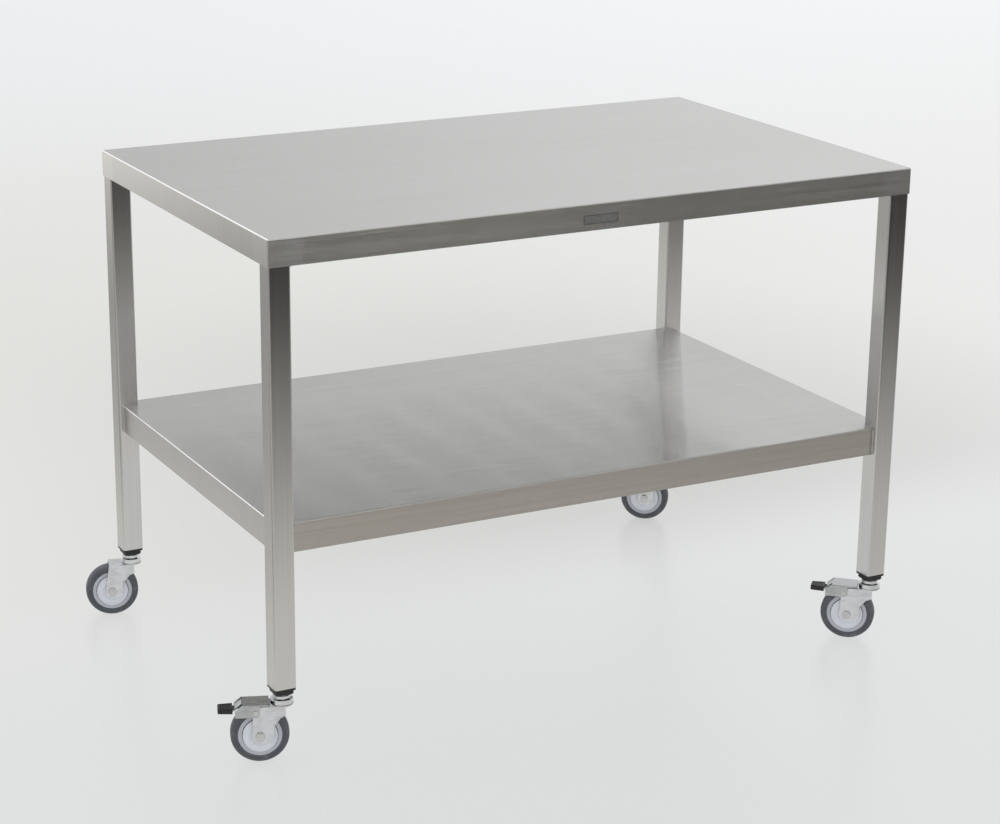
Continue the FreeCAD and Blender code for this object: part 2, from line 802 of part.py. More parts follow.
def make_tyre(corner):
    half = [
        ("dims.rim_half", "dims.tyre_inner"),
        ("dims.tyre_half", "dims.tyre_inner + dims.sidewall_rise"),
        ("dims.tyre_half", "dims.wheel_radius - dims.shoulder_drop"),
        ("dims.tyre_half - dims.shoulder_mid_in", "dims.wheel_radius - dims.shoulder_mid_drop"),
        ("dims.tyre_half - dims.shoulder_top_in", "dims.wheel_radius - dims.shoulder_top_drop"),
        ("dims.tread_half", "dims.wheel_radius"),
    ]
    body = wheel_body(f"tyre_{corner[0]}", *both_sides(half))
    place_on_leg(body, corner, "dims.wheel_radius", "dims.trail")
    keep(body, f"tyre_{corner[0]}")


def make_wheel_core(corner):
    half = [
        ("dims.hub_half", "dims.bearing_outer"),
        ("dims.hub_half", "dims.hub_outer"),
        ("dims.web_half", "dims.hub_outer + dims.hub_flare"),
        ("dims.web_half", "dims.rim_inner - dims.rim_flare"),
        ("dims.rim_half", "dims.rim_inner"),
        ("dims.rim_half", "dims.tyre_inner"),
    ]
    body = wheel_body(f"wheel_core_{corner[0]}", *both_sides(half))
    place_on_leg(body, corner, "dims.wheel_radius", "dims.trail")
    keep(body, f"wheel_core_{corner[0]}")


def make_thread_guards(corner):
    """A dished disc on each side of the wheel that keeps thread and dirt off the bearings."""
    discs = []
    back = "(dims.hub_half + dims.guard_gap)"
    rim = "(dims.rim_half + dims.guard_rim_out)"
    for side in ("", "-"):
        disc = wheel_body(
            "guard",
            (f"{side}{back}", "dims.guard_bore"),
            (f"{side}dims.guard_face", "dims.guard_bore"),
            (f"{side}dims.guard_face", "dims.hub_outer - dims.guard_crown_in"),
            (f"{side}{rim}", "dims.guard_outer"),
            (f"{side}({rim} - dims.guard_wall)", "dims.guard_outer"),
            (f"{side}{back}", "dims.hub_outer + dims.part_gap"),
        )
        discs.append(disc)
    pair = doc.addObject("Part::Compound", f"thread_guards_{corner[0]}")
    pair.Links = discs
    place_on_leg(pair, corner, "dims.wheel_radius", "dims.trail")
    keep(pair, f"thread_guards_{corner[0]}")


def make_wheel_bearings(corner):
    """Two bearings in the hub and the tube that keeps them apart."""
    bore = "dims.axle_radius + dims.running_gap"
    inner = "(dims.hub_half - dims.bearing_width)"
    rings = []
    for outer, start, width in (
        ("dims.bearing_outer", inner, "dims.bearing_width"),
        ("dims.bearing_outer", "-dims.hub_half", "dims.bearing_width"),
        ("dims.sleeve_radius", f"-{inner}", f"2 * {inner}"),
    ):
        rings.append(cut(rod(outer, start, width), rod(bore, start, width)))
    group = doc.addObject("Part::Compound", f"wheel_bearings_{corner[0]}")
    group.Links = rings
    place_on_leg(group, corner, "dims.wheel_radius", "dims.trail")
    keep(group, f"wheel_bearings_{corner[0]}")


# ---------------------------------------------------------------- brake


def make_brake_lever(corner):
    """The pressed lever: a flat roof over the crown, two side plates and a tongue for the pedal."""
    body = new_body(f"brake_lever_{corner[0]}")
    block = sketch_on(body, "XZ_Plane")
    outline(
        block,
        ("dims.lever_start", "dims.lever_low"),
        ("dims.lever_side_start", "dims.lever_low"),
        ("dims.lever_side_start", "dims.lever_side_low + dims.lever_corner_z"),
        ("dims.lever_side_start + dims.lever_corner_x", "dims.lever_side_low"),
        ("dims.lever_side_end", "dims.lever_side_low"),
        ("dims.lever_side_end", "dims.tongue_low + dims.lever_corner_z"),
        ("dims.lever_bend", LEVER_TOP),
        ("dims.lever_start", LEVER_TOP),
    )
    pad(body, block, f"2 * {LEVER_OUTER}", both=True)
    top = dimension("lever_low") + dimension("lever_thick")

    def on_roof_side(edge):
        return runs_along(edge, "x") and near(edge.BoundBox.ZMin, top)

    dress(body, "Fillet", "dims.lever_round", on_roof_side)
    space = sketch_on(body, "XZ_Plane")
    far = "dims.lever_side_end"
    rectangle(space, "0", "0", f"2 * {far}", "dims.lever_low")
    pocket(body, space, f"2 * {LEVER_INNER}", both=True)
    nose = sketch_on(body, "XZ_Plane")
    nose_low = "dims.lever_low - dims.lever_overlap"
    rectangle(nose, "dims.lever_bend", nose_low, f"2 * {far}", "2 * dims.lever_low")
    pocket(body, nose, f"2 * {LEVER_INNER}", both=True)
    tongue = sketch_on(body, "XZ_Plane")
    outline(
        tongue,
        ("dims.lever_bend - dims.lever_overlap", "dims.lever_low"),
        ("dims.lever_bend", "dims.lever_low"),
        ("dims.tongue_start", "dims.tongue_low"),
        ("dims.tongue_end", "dims.tongue_low"),
        ("dims.tongue_end", "dims.tongue_low + dims.lever_thick"),
        ("dims.tongue_start + dims.lever_overlap", "dims.tongue_low + dims.lever_thick"),
        ("dims.lever_bend + dims.lever_overlap", LEVER_TOP),
        ("dims.lever_bend - dims.lever_overlap", LEVER_TOP),
    )
    pad(body, tongue, "2 * dims.tongue_half", both=True)
    pivot = sketch_on(body, "XZ_Plane")
    circle(pivot, "dims.pivot_x", "dims.pivot_z", "dims.pin_radius + dims.running_gap")
    pocket(body, pivot, f"3 * {LEVER_OUTER}", both=True)
    place_on_leg(body, corner)
    keep(body, f"brake_lever_{corner[0]}")


def make_brake_pedal(corner):
    """The moulded pedal pushed over the lever's tongue, ribbed on top."""
    body = new_body(f"brake_pedal_{corner[0]}")
    plan = sketch_on(body, "XY_Plane", "dims.pedal_low")
    outline(
        plan,
        ("dims.pedal_start", "-dims.pedal_half"),
        ("dims.pedal_end", "-dims.pedal_tip_half"),
        ("dims.pedal_end", "dims.pedal_tip_half"),
        ("dims.pedal_start", "dims.pedal_half"),
    )
    pad(body, plan, "dims.pedal_top - dims.pedal_low")
    past_start = dimension("pedal_start") + dimension("cut_past")
    dress(body, "Fillet", "dims.pedal_round", lambda edge: edge.BoundBox.XMax > past_start)
    slot = sketch_on(body, "YZ_Plane", "dims.pedal_start")
    rectangle(
        slot,
        "-dims.tongue_half - dims.tongue_gap",
        "dims.tongue_low - dims.tongue_gap",
        "dims.tongue_half + dims.tongue_gap",
        "dims.tongue_low + dims.lever_thick + dims.tongue_gap",
    )
    pocket(body, slot, "dims.tongue_end - dims.pedal_start + dims.tongue_gap", back=True)
    for i in range(PEDAL_GROOVES):
        groove = sketch_on(body, "XZ_Plane")
        start = f"(dims.pedal_start + dims.groove_start + {i} * dims.groove_pitch)"
        low, high = "dims.pedal_top - dims.groove_depth", "dims.pedal_top + dims.groove_depth"
        rectangle(groove, start, low, f"{start} + dims.groove_width", high)
        pocket(body, groove, "2 * dims.groove_half", both=True)
    place_on_leg(body, corner)
    keep(body, f"brake_pedal_{corner[0]}")


def make_brake_shoe(corner):
    """The block under the lever's roof that the lever presses on the tyre."""
    body = new_body(f"brake_shoe_{corner[0]}")
    block = sketch_on(body, "XZ_Plane")
    rectangle(block, "dims.shoe_start", "dims.shoe_low", "dims.shoe_end", "dims.lever_low")
    pad(body, block, "2 * dims.shoe_half", both=True)
    arc = sketch_on(body, "XZ_Plane")
    circle(arc, "dims.trail", "dims.wheel_radius", "dims.shoe_radius")
    pocket(body, arc, "3 * dims.shoe_half", both=True)
    place_on_leg(body, corner)
    keep(body, f"brake_shoe_{corner[0]}")


# ---------------------------------------------------------------- build, check and write


def build():
    make_top_panel()
    make_shelf_panel()
    make_channel("top_channel_front", "-dims.channel_spread", "dims.table_height - dims.gauge")
    make_channel("top_channel_back", "dims.channel_spread", "dims.table_height - dims.gauge")
    make_channel("shelf_channel", "0", "dims.shelf_top - dims.gauge")
    make_nameplate()
    make_shelf_welds()
    for corner in CASTERS:
        make_leg(corner)
        make_leg_plug(corner)
        make_caster_stem(corner)
        make_swivel_cap(corner)
        make_swivel_balls(corner)
        make_fork(corner)
        make_axle_set(corner)
        make_tyre(corner)
        make_wheel_core(corner)
        make_thread_guards(corner)
        make_wheel_bearings(corner)
        if corner[3]:
            make_brake_pins(corner)
            make_brake_lever(corner)
            make_brake_pedal(corner)
            make_brake_shoe(corner)


def check():
    """Stop if any object failed or any sub-part is empty or invalid."""
    for item in doc.Objects:
        if "Invalid" in item.State or "Error" in item.State:
            raise RuntimeError(f"{item.Name} failed: {item.State}")
    for piece in nodes:
        if piece.Shape.isNull() or not piece.Shape.isValid() or not piece.Shape.Solids:
            raise RuntimeError(f"{piece.Label} has no valid solid")


def write():
    os.makedirs("parts", exist_ok=True)
    for piece in nodes:
        piece.Shape.exportStep(f"parts/{piece.Label}.step")
        print(piece.Label, len(piece.Shape.Solids), round(piece.Shape.Volume))


fill_sheet()
build()
doc.recompute()
check()
write()
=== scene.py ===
import math
import random

import bpy
from mathutils import Matrix, Vector


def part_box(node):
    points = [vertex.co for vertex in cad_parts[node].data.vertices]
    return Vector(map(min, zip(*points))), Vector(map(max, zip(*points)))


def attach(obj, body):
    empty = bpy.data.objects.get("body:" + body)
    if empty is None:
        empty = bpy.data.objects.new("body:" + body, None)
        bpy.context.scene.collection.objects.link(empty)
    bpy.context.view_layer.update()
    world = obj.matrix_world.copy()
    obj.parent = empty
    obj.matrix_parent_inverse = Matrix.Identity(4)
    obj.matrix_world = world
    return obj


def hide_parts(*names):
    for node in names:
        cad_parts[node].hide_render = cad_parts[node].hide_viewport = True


# Looks for a stainless work table on four casters. Metres, in the part's own frame:
# +Z is up, +X runs along the table's long side and +Y to the back.

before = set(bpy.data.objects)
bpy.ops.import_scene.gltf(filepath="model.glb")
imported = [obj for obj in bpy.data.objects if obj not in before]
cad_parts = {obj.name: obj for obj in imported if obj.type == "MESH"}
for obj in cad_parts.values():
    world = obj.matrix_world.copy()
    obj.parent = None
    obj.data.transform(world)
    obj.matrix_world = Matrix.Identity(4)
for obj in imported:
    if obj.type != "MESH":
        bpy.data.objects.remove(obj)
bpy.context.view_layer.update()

CORNERS = ("front_left", "front_right", "back_left", "back_right")
BRAKED = ("front_left", "front_right")

# the camera stands to the front left and looks down on the table through a long lens
CAMERA_SENSOR = 36.0
CAMERA_REACH = 200.0
CAMERA_PLACE = (-2.02448, -3.8638, 1.79622)
CAMERA_YAW = math.radians(26.08)
CAMERA_PITCH = math.radians(17.87)
CAMERA_ROLL = math.radians(-0.05)
CAMERA_LENS = 90.04
CAMERA_SHIFT = (0.0918, 0.0150)


# ---------------------------------------------------------------- node helpers


class Nodes:
    """A node tree, with short calls for the nodes used here.

    Its place is the coordinate that noise and parts are read at when no other is given.
    """

    def __init__(self, tree, coordinate):
        self.tree = tree
        self.place = self.add("ShaderNodeTexCoord").outputs[coordinate]

    def add(self, kind, **settings):
        node = self.tree.nodes.new(kind)
        for key, value in settings.items():
            setattr(node, key, value)
        return node

    def join(self, source, target):
        if isinstance(source, bpy.types.NodeSocket):
            self.tree.links.new(source, target)
        else:
            target.default_value = source

    def math(self, operation, *values):
        node = self.add("ShaderNodeMath", operation=operation)
        for value, socket in zip(values, node.inputs):
            self.join(value, socket)
        return node.outputs[0]

    def vector(self, operation, *values):
        node = self.add("ShaderNodeVectorMath", operation=operation)
        for value, socket in zip(values, node.inputs):
            self.join(value, socket)
        return node.outputs[0]

    def vector_length(self, vector):
        node = self.add("ShaderNodeVectorMath", operation="LENGTH")
        self.join(vector, node.inputs[0])
        return node.outputs["Value"]

    def ramp(self, value, low, high, start=0.0, end=1.0, interpolation="SMOOTHSTEP"):
        """Maps low..high to start..end, clamped, with soft ends unless it is linear."""
        node = self.add("ShaderNodeMapRange", interpolation_type=interpolation)
        for socket, item in zip(node.inputs, (value, low, high, start, end)):
            self.join(item, socket)
        return node.outputs[0]

    def line(self, value, low, high, start, end):
        """Maps low..high to start..end in a straight line, clamped."""
        return self.ramp(value, low, high, start, end, "LINEAR")

    def mix_colour(self, share, first, second, blend="MIX"):
        node = self.add("ShaderNodeMix", data_type="RGBA", blend_type=blend)
        self.join(share, node.inputs["Factor"])
        self.join(first, node.inputs[6])
        self.join(second, node.inputs[7])
        return node.outputs[2]

    def mix(self, share, first, second):
        node = self.add("ShaderNodeMix", data_type="FLOAT")
        self.join(share, node.inputs["Factor"])
        self.join(first, node.inputs[2])
        self.join(second, node.inputs[3])
        return node.outputs[0]

    def mix_vector(self, share, first, second):
        node = self.add("ShaderNodeMix", data_type="VECTOR")
        self.join(share, node.inputs["Factor"])
        self.join(first, node.inputs[4])
        self.join(second, node.inputs[5])
        return node.outputs[1]

    def noise(self, scale, stretch=(1, 1, 1), detail=2.0, roughness=0.5):
        node = self.add("ShaderNodeTexNoise")
        self.join(self.vector("MULTIPLY", self.place, stretch), node.inputs["Vector"])
        node.inputs["Scale"].default_value = scale
        node.inputs["Detail"].default_value = detail
        node.inputs["Roughness"].default_value = roughness
        return node.outputs["Fac"]

    def part(self, axis, vector=None):
        node = self.add("ShaderNodeSeparateXYZ")
        self.join(vector or self.place, node.inputs[0])
        return node.outputs["XYZ".index(axis)]


class MaterialNodes(Nodes):
    """A new material's node tree, read in the object's own metres."""

    def __init__(self, name):
        self.material = bpy.data.materials.new(name)
        self.material.use_nodes = True
        super().__init__(self.material.node_tree, "Object")
        self.shader = self.tree.nodes["Principled BSDF"]

    def set(self, **values):
        """Sets the shader's sockets; a number or colour stays on the socket itself."""
        for key, value in values.items():
            self.join(value, self.shader.inputs[key.replace("_", " ")])

    def bump(self, height, distance, strength):
        node = self.add("ShaderNodeBump")
        node.inputs["Strength"].default_value = strength
        node.inputs["Distance"].default_value = distance
        self.join(height, node.inputs["Height"])
        self.join(node.outputs[0], self.shader.inputs["Normal"])


def give(node, material):
    """Puts one material on the whole of a CAD node."""
    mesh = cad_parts[node].data
    mesh.materials.clear()
    mesh.materials.append(material)


def give_all(stem, material, corners=CORNERS):
    for corner in corners:
        give(f"{stem}_{corner}", material)


# ---------------------------------------------------------------- steel

STEEL = (0.60, 0.592, 0.575, 1)
STEEL_PALE = (0.655, 0.65, 0.638, 1)
FINE_ACROSS = 2400.0
SHELF_ACROSS = 9600.0
FINE_ALONG = 9.0
STREAK_ACROSS = 170.0
STREAK_ALONG = 1.4
GRAIN_ROUGHNESS = 0.62
CLOUD_SCALE = 3.2
STREAK_GLOSS = 0.05
CLOUD_GLOSS = 0.03
SKIRT_SPREAD = 0.42
# painted tints for faces turned to front and back: warm reflected light on the skirts, darker warm
# shade on the shelf's flanges
SKIRT_PAINTED_TINT = (1.0, 0.99, 0.94, 1)
SHELF_PAINTED_SHADE_TINT = (0.95, 0.92, 0.875, 1)
# paler colour painted on the sheets' end folds, a painted highlight
FOLD_PAINTED_HIGHLIGHT = (0.96, 0.955, 0.945, 1)
GROUND_PALE = (0.70, 0.695, 0.685, 1)
GROUND_SHARE = 0.6
GROUND_SPREAD = 0.05
GROUND_RAGGED = 0.022
GROUND_INNER = 0.064
GROUND_OUTER = 0.054
PLATE_DARK = (0.30, 0.305, 0.295, 1)
PLATE_PALE = (0.36, 0.365, 0.35, 1)
PLATE_INK = (0.055, 0.060, 0.056, 1)
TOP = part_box("top_panel")


def stretched(along, axis, across):
    """A scale vector that is small along one axis and large across it."""
    return tuple(along if name == axis else across for name in "XYZ")


def brushed_steel(
    name, grain, roughness=0.17, spread=0.6, tone=1.0, fine_across=FINE_ACROSS, folded=False,
    ground=False, upright_painted_tint=None,
):
    """Brushed stainless: fine grain and longer streaks along one axis, and faint clouding.

    The grain's scratches tilt the surface across the grain only, by up to half the spread, which
    draws reflections out into streaks. A folded sheet keeps its grain round the bend, so on its
    end faces the grain runs down, and the bends at its ends get a painted highlight: their colour
    is made paler. Faces turned to front and back get a painted tint: warm reflected light on the
    top's skirts, darker warm shade on the shelf's flanges. Ground corners are where the top's
    skirts were welded.
    """
    n = MaterialNodes(name)
    normal = n.add("ShaderNodeNewGeometry").outputs["Normal"]
    on_end = n.ramp(n.math("ABSOLUTE", n.part("X", normal)), 0.6, 0.8)
    upright = n.ramp(n.math("ABSOLUTE", n.part("Z", normal)), 0.25, 0.75, 1.0, 0.0)

    def grain_noise(along, across, detail):
        level = n.noise(1.0, stretched(along, grain, across), detail, GRAIN_ROUGHNESS)
        if folded:
            down = n.noise(1.0, stretched(along, "Z", across), detail, GRAIN_ROUGHNESS)
            level = n.mix(on_end, level, down)
        return level

    fine = grain_noise(FINE_ALONG, fine_across, 3.0)
    streak = grain_noise(STREAK_ALONG, STREAK_ACROSS, 4.0)
    cloud = n.noise(CLOUD_SCALE, stretched(0.5, grain, 1.6), 3.0)
    smoothest = roughness - (STREAK_GLOSS + CLOUD_GLOSS) / 2
    rough = n.math("ADD", smoothest, n.math("MULTIPLY", streak, STREAK_GLOSS))
    rough = n.math("ADD", rough, n.math("MULTIPLY", cloud, CLOUD_GLOSS))
    shade = n.math("ADD", n.math("MULTIPLY", streak, 0.7), n.math("MULTIPLY", cloud, 0.5))
    colour = n.mix_colour(n.ramp(shade, 0.35, 0.85), STEEL, STEEL_PALE)
    # a tone below one paints the whole sheet darker; the shelf uses it as painted shade
    if tone != 1.0:
        colour = n.mix_colour(1.0, colour, (tone, tone, tone, 1), "MULTIPLY")
    # faces turned to front and back get a painted tint: painted warm reflected light on the
    # skirts, painted shade on the shelf's flanges
    if upright_painted_tint:
        facing = n.math("MULTIPLY", upright, n.math("SUBTRACT", 1.0, on_end))
        colour = n.mix_colour(facing, colour, upright_painted_tint, "MULTIPLY")
    if folded:
        spread = n.mix(upright, spread, SKIRT_SPREAD)
        # the bends at the sheet's ends are painted paler, a painted highlight
        turned_out = n.ramp(n.math("ABSOLUTE", n.part("X", normal)), 0.15, 0.35)
        turned_up = n.ramp(n.math("ABSOLUTE", n.part("Z", normal)), 0.15, 0.35)
        colour = n.mix_colour(n.math("MULTIPLY", turned_out, turned_up), colour, FOLD_PAINTED_HIGHLIGHT)
    if ground:
        patch = ground_patch(n)
        share = n.math("MULTIPLY", patch, GROUND_SHARE)
        colour = n.mix_colour(share, colour, GROUND_PALE)
        spread = n.math("ADD", spread, n.math("MULTIPLY", patch, GROUND_SPREAD))
    n.set(Base_Color=colour, Metallic=1.0, Roughness=rough, Anisotropic=1.0)
    across = n.vector("CROSS_PRODUCT", normal, stretched(1.0, grain, 0.0))
    if folded:
        down_across = n.vector("CROSS_PRODUCT", normal, (0.0, 0.0, 1.0))
        across = n.mix_vector(on_end, across, down_across)
    across = n.vector("NORMALIZE", across)
    n.join(across, n.shader.inputs["Tangent"])
    tilt = n.math("MULTIPLY", n.math("SUBTRACT", fine, 0.5), spread)
    scratched = n.vector("MULTIPLY_ADD", across, tilt, normal)
    n.join(n.vector("NORMALIZE", scratched), n.shader.inputs["Normal"])
    return n.material


def ground_patch(n):
    """Where the top's skirts were welded at the corners and ground flush."""
    low, high = TOP
    half = (high - low) / 2
    place = n.vector("ABSOLUTE", n.vector("SUBTRACT", n.place, tuple((high + low) / 2)))
    wander = n.math("SUBTRACT", n.noise(90.0, detail=3.0), 0.5)
    ragged = n.math("MULTIPLY", wander, GROUND_RAGGED)
    x = n.math("ADD", n.part("X", place), ragged)
    y = n.math("ADD", n.part("Y", place), ragged)
    near_side = n.ramp(x, half.x - GROUND_INNER, half.x - GROUND_OUTER)
    near_end = n.ramp(y, half.y - GROUND_INNER, half.y - GROUND_OUTER)
    below = n.ramp(n.part("Z"), high.z - 0.003, high.z - 0.001, 1.0, 0.0)
    return n.math("MULTIPLY", n.math("MULTIPLY", near_side, near_end), below)


def plated_steel(name, colour, roughness, mottle=0.05):
    """Bright plated or worked steel: smooth, with faint clouding and fine pits."""
    n = MaterialNodes(name)
    cloud = n.noise(120.0, detail=3.0)
    pits = n.noise(2600.0, detail=2.0)
    worn = n.noise(45.0, (1, 1, 2.5), 4.0, 0.6)
    dull = tuple(0.82 * c for c in colour[:3]) + (1,)
    n.set(
        Base_Color=n.mix_colour(n.ramp(worn, 0.35, 0.75), colour, dull),
        Metallic=1.0,
        Roughness=n.math("ADD", roughness - mottle / 2, n.math("MULTIPLY", cloud, mottle * 2)),
    )
    n.bump(n.math("ADD", pits, n.math("MULTIPLY", cloud, 2.0)), 0.00003, 0.5)
    return n.material


def moulded(name, colour, roughness, grain=0.00004, dust=None):
    """Moulded plastic or rubber: a fine texture, faint uneven gloss and a little dust."""
    n = MaterialNodes(name)
    fine = n.noise(3200.0, detail=2.0)
    cloud = n.noise(70.0, detail=4.0, roughness=0.6)
    base = colour
    if dust:
        base = n.mix_colour(n.ramp(cloud, 0.45, 0.8, 0.0, 0.5), colour, dust)
    n.set(
        Base_Color=base,
        Roughness=n.math("ADD", roughness - 0.06, n.math("MULTIPLY", cloud, 0.12)),
        Specular_IOR_Level=0.45,
    )
    n.bump(n.math("ADD", n.math("MULTIPLY", fine, 0.6), cloud), grain, 0.6)
    return n.material


def nameplate_material():
    """A blank printed plate: satin metal with a thin dark border line."""
    n = MaterialNodes("plate_finish")
    low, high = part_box("nameplate")
    middle, half = (low + high) / 2, (high - low) / 2
    place = n.vector("ABSOLUTE", n.vector("SUBTRACT", n.place, tuple(middle)))
    inset_x = n.math("SUBTRACT", half.x, n.part("X", place))
    inset_z = n.math("SUBTRACT", half.z, n.part("Z", place))
    inset = n.math("MINIMUM", inset_x, inset_z)
    past_outer = n.ramp(inset, 0.0010, 0.0012)
    before_inner = n.ramp(inset, 0.0018, 0.0020, 1.0, 0.0)
    border = n.math("MULTIPLY", past_outer, before_inner)
    cloud = n.noise(160.0, detail=3.0)
    face = n.mix_colour(n.ramp(cloud, 0.3, 0.7), PLATE_DARK, PLATE_PALE)
    n.set(
        Base_Color=n.mix_colour(border, face, PLATE_INK),
        Metallic=0.8,
        Roughness=n.math("ADD", 0.30, n.math("MULTIPLY", cloud, 0.1)),
    )
    n.bump(cloud, 0.00003, 0.4)
    return n.material


# ---------------------------------------------------------------- stage, light and camera

FLOOR_RADIUS = 60
FLOOR_GLOW = 0.86
FLOOR_NEAR = (0.747, 0.755, 0.757, 1)
FLOOR_MIDDLE = (0.768, 0.774, 0.744, 1)
FLOOR_BEHIND = (0.700, 0.708, 0.674, 1)
FLOOR_RIGHT = (0.742, 0.742, 0.742, 1)
FLOOR_FAR = (0.742, 0.752, 0.762, 1)
FLOOR_FRONT = (1.10, 1.11, 1.12, 1)
SHADOW_CENTRE = (0.75, 0.9, 0.0)
SHADOW_DEPTH = 0.23
CARD_HEIGHT = 0.002
CARD_COLOUR = (1.0, 0.985, 0.945, 1)
SKY_COLOUR = (0.985, 0.992, 1.0, 1)


def stage_floor():
    """A wide flat disc. Its own glow makes it pale, and its tint and shade change with place."""
    bpy.ops.mesh.primitive_circle_add(vertices=96, radius=FLOOR_RADIUS, fill_type="NGON")
    floor = bpy.context.object
    floor.name = "studio_floor"
    n = MaterialNodes("studio_floor")
    y, x = n.part("Y"), n.part("X")
    tint = n.mix_colour(n.ramp(y, -0.2, 1.0), FLOOR_NEAR, FLOOR_MIDDLE)
    tint = n.mix_colour(n.ramp(y, 1.0, 2.4), tint, FLOOR_BEHIND)
    tint = n.mix_colour(n.ramp(x, 0.8, 3.0, 0.0, 0.8), tint, FLOOR_RIGHT)
    tint = n.mix_colour(n.ramp(y, 2.4, 6.5), tint, FLOOR_FAR)
    tint = n.mix_colour(n.ramp(y, -12.0, -4.0, 1.0, 0.0), tint, FLOOR_FRONT)
    away = n.vector("SUBTRACT", n.place, SHADOW_CENTRE)
    shade = n.ramp(n.vector_length(away), 0.2, 1.8, SHADOW_DEPTH, 0.0)
    shade = n.math("MULTIPLY", shade, n.ramp(y, 0.0, 0.5))
    tint = n.mix_colour(shade, tint, (0.0, 0.0, 0.0, 1))
    n.set(
        Base_Color=(0.07, 0.07, 0.07, 1),
        Roughness=0.30,
        Specular_IOR_Level=0.18,
        Emission_Color=tint,
        Emission_Strength=FLOOR_GLOW,
    )
    floor.data.materials.append(n.material)


def reflected_card(name, low, high, strength):
    """A sheet lying on the floor that shows only in the steel, and never to the camera.

    It is clear from below, so that the floor under it doesn't reflect it.
    """
    mesh = bpy.data.meshes.new(name)
    (left, near), (right, far) = low, high
    corners = ((left, near), (right, near), (right, far), (left, far))
    mesh.from_pydata([(x, y, CARD_HEIGHT) for x, y in corners], [], [(0, 1, 2, 3)])
    card = bpy.data.objects.new(name, mesh)
    bpy.context.scene.collection.objects.link(card)
    n = MaterialNodes(name)
    emission = n.add("ShaderNodeEmission")
    emission.inputs["Color"].default_value = CARD_COLOUR
    n.join(strength(n), emission.inputs["Strength"])
    output = n.tree.nodes["Material Output"]
    n.tree.nodes.remove(n.shader)
    one_sided = n.add("ShaderNodeMixShader")
    n.join(n.add("ShaderNodeNewGeometry").outputs["Backfacing"], one_sided.inputs[0])
    n.join(emission.outputs[0], one_sided.inputs[1])
    n.join(n.add("ShaderNodeBsdfTransparent").outputs[0], one_sided.inputs[2])
    n.join(one_sided.outputs[0], output.inputs["Surface"])
    mesh.materials.append(n.material)
    card.visible_camera = False
    card.visible_diffuse = False
    card.visible_shadow = False
    card.visible_transmission = False


def front_shade(n):
    """The floor falls into shade in front of the table, and is darker to the right."""
    fall = n.line(n.part("Y"), -3.2, -1.0, 0.0, 1.0)
    level = n.math("ADD", 0.05, n.math("MULTIPLY", n.math("POWER", fall, 1.35), 0.71))
    return n.math("MULTIPLY", level, n.line(n.part("X"), -0.4, 2.6, 1.0, 0.64))


def left_shade(n):
    """Well left of the table the floor is shaded, and it is light again far behind."""
    deep = n.line(n.part("Y"), 2.4, 4.3, 0.40, 1.0)
    return n.mix(n.line(n.part("X"), -1.5, -0.85, 0.0, 1.0), deep, 0.78)


def world_light():
    """The room seen in reflections: even behind, bright overhead, dark in front.

    In front it is bright only low down to the left. A small brighter patch, low at the back
    left, lights the faces turned that way. X, y and z are the direction looked in.
    """
    world = bpy.data.worlds.new("studio")
    bpy.context.scene.world = world
    world.use_nodes = True
    n = Nodes(world.node_tree, "Generated")
    x, y, z = (n.part(axis) for axis in "XYZ")
    low_front = n.ramp(x, 0.34, 0.62, 1.0, 0.06)
    high_front = n.ramp(x, 0.34, 0.62, 1.1, 0.7)
    front = n.ramp(z, 0.04, 0.28, low_front, high_front)
    front = n.math("MULTIPLY", front, n.ramp(z, 0.34, 0.55, 1.0, 0.25))
    level = n.ramp(y, -0.6, 0.3, front, 0.70)
    level = n.math("ADD", level, n.ramp(x, 0.25, 0.6, 0.0, 0.22))
    level = n.math("ADD", level, n.ramp(z, 0.6, 0.95, 0.0, 0.36))
    patch = n.math("MULTIPLY", n.ramp(x, 0.0, 0.2, 1.0, 0.0), n.ramp(z, 0.1, 0.25))
    patch = n.math("MULTIPLY", patch, n.ramp(z, 0.42, 0.52, 1.0, 0.0))
    patch = n.math("MULTIPLY", patch, n.ramp(y, 0.3, 0.7, 0.0, 0.55))
    level = n.math("ADD", level, patch)
    background = n.tree.nodes["Background"]
    n.join(level, background.inputs["Strength"])
    background.inputs["Color"].default_value = SKY_COLOUR


def soft_light(name, place, target, size, power):
    """A soft light that shows on dull surfaces, but isn't mirrored in the steel."""
    light = bpy.data.lights.new(name, "AREA")
    light.shape = "RECTANGLE"
    light.size, light.size_y = size
    light.energy = power
    holder = bpy.data.objects.new(name, light)
    holder.location = place
    aim = Vector(target) - Vector(place)
    holder.rotation_euler = aim.to_track_quat("-Z", "Y").to_euler()
    holder.visible_glossy = False
    bpy.context.scene.collection.objects.link(holder)


def make_camera():
    camera = bpy.data.cameras.new("camera")
    holder = bpy.data.objects.new("camera", camera)
    camera.sensor_width = CAMERA_SENSOR
    camera.lens = CAMERA_LENS
    camera.shift_x, camera.shift_y = CAMERA_SHIFT
    camera.clip_end = CAMERA_REACH
    holder.location = CAMERA_PLACE
    holder.rotation_euler = (math.pi / 2 - CAMERA_PITCH, CAMERA_ROLL, -CAMERA_YAW)
    bpy.context.scene.collection.objects.link(holder)
    bpy.context.scene.camera = holder


# ---------------------------------------------------------------- pieces built here
# Outlines and beads are in millimetres until new_piece turns them into metres.

